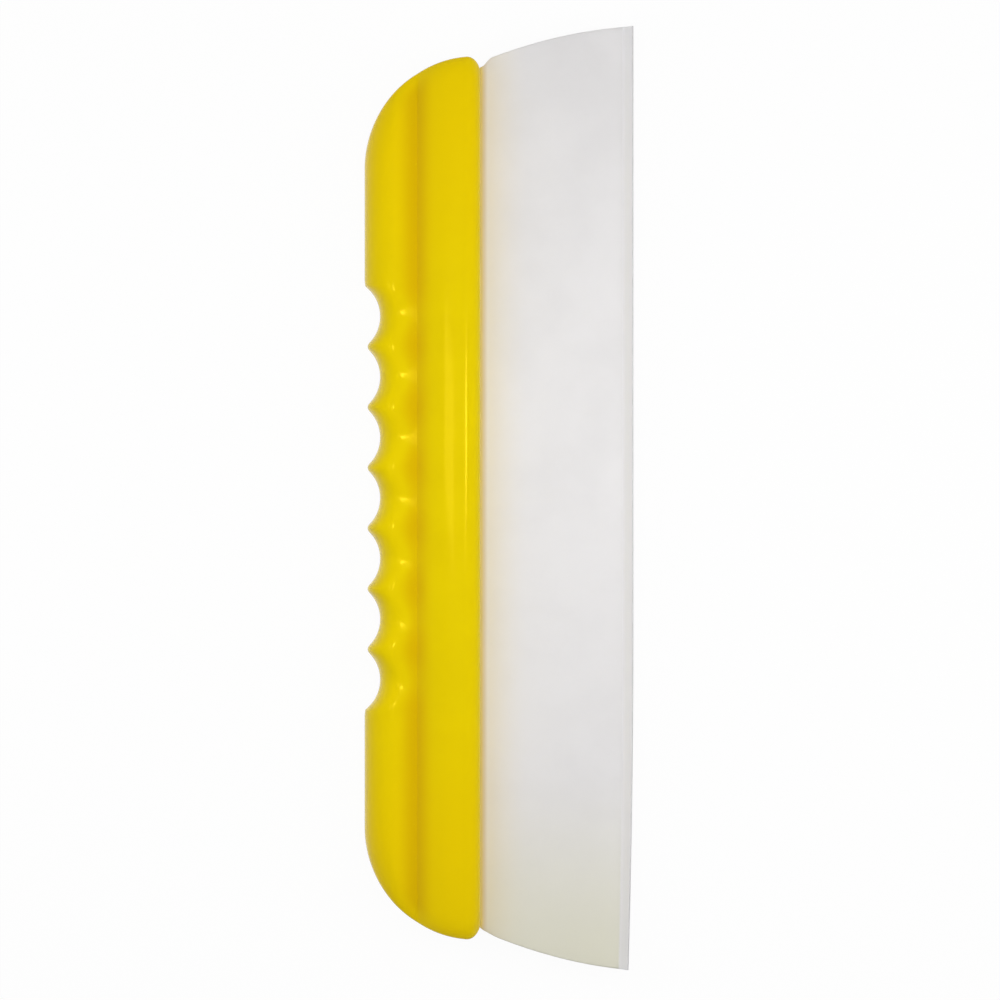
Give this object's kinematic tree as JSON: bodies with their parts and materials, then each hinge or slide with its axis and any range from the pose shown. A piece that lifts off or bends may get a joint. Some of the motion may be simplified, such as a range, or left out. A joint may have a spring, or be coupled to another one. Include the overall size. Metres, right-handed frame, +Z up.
{
  "type": "hand squeegee",
  "caption": "Hand squeegee: split moulded handle with finger scallops along its back, and a soft silicone blade that ends in a flared wiping bar.",
  "frame": {"origin": "middle of the bounding box's underside, on the surface that the squeegee lies on", "axes": "+X across from the handle's back edge to the wiping edge, +Y along the length, +Z up through the thickness, out of the front shell"},
  "size_m": [0.087, 0.305, 0.022],
  "materials": {
    "yellow_plastic": "glossy moulded",
    "milky_silicone": "satin, slightly translucent",
    "ivory_nylon": "satin"
  },
  "bodies": {
    "handle": {"front_shell": "yellow_plastic", "rear_shell": "yellow_plastic", "blade_root": "milky_silicone", "anchor_pin_1": "ivory_nylon", "anchor_pin_2": "ivory_nylon", "anchor_pin_3": "ivory_nylon", "anchor_pin_4": "ivory_nylon", "anchor_pin_5": "ivory_nylon", "anchor_pin_6": "ivory_nylon", "anchor_pin_7": "ivory_nylon", "grip_pin_1": "ivory_nylon", "grip_pin_2": "ivory_nylon", "grip_pin_3": "ivory_nylon", "grip_pin_4": "ivory_nylon", "grip_pin_5": "ivory_nylon", "grip_pin_6": "ivory_nylon"},
    "blade": {"blade_web": "milky_silicone"},
    "lip": {"wiper_lip": "milky_silicone"}
  },
  "joints": [
    {"name": "blade_flex", "type": "hinge", "parent": "handle", "child": "blade", "pos_m": [0.0106, 0, 0.011], "axis": [0, -1, 0], "range_deg": [-45, 45], "stiffness_Nm_per_rad": 0.06},
    {"name": "lip_flex", "type": "hinge", "parent": "blade", "child": "lip", "pos_m": [0.0406, 0, 0.011], "axis": [0, -1, 0], "range_deg": [-25, 25], "stiffness_Nm_per_rad": 0.15}
  ]
}
